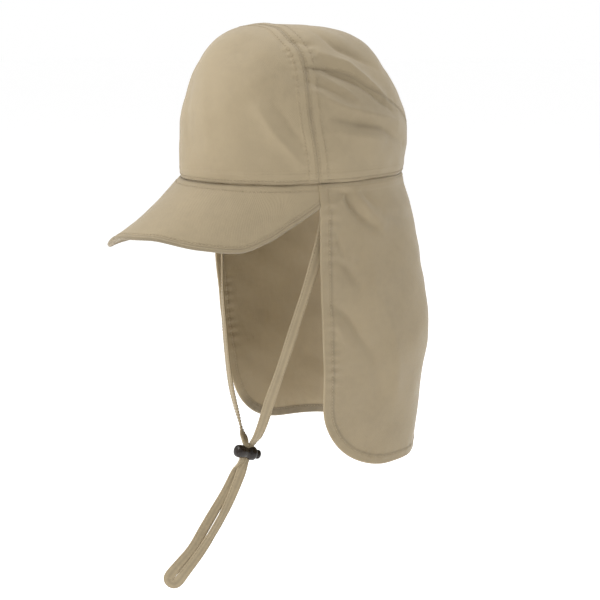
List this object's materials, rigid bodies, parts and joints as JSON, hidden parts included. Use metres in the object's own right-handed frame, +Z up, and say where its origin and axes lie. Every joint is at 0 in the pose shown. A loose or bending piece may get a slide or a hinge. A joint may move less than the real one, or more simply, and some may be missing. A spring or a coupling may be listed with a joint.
{
  "type": "fisherman cap with neck flap",
  "caption": "Soft cap with a stiff curved bill, a long neck flap open at the face, and a flat chin strap gathered by a spring cord lock.",
  "frame": {"origin": "centre of the head band's oval, where the cap sits on a head; crown above it, flap and strap hang below", "axes": "+Z up through the crown, -Y forward along the bill, +X to the wearer's left"},
  "size_m": [0.1901, 0.2991, 0.5027],
  "materials": {
    "crown_cloth": "matte khaki woven cloth",
    "bill_cloth": "matte khaki woven cloth over a stiff board",
    "flap_cloth": "matte khaki woven cloth, thin",
    "strap_tape": "folded khaki cloth tape",
    "lock_plastic": "glossy black-brown plastic"
  },
  "bodies": {
    "cap": {"crown_front_panel": "crown_cloth", "crown_top_panel": "crown_cloth", "crown_side_panel_left": "crown_cloth", "crown_side_panel_right": "crown_cloth", "bill": "bill_cloth", "neck_flap": "flap_cloth", "chin_strap": "strap_tape", "cord_lock_barrel": "lock_plastic"},
    "plunger": {"cord_lock_plunger": "lock_plastic"}
  },
  "joints": [
    {"name": "plunger_press", "type": "slide", "parent": "cap", "child": "plunger", "axis": [0, -0.9397, 0.342], "range_m": [0, 0.0025], "stiffness_N_per_m": 600, "springref_m": -0.002}
  ]
}
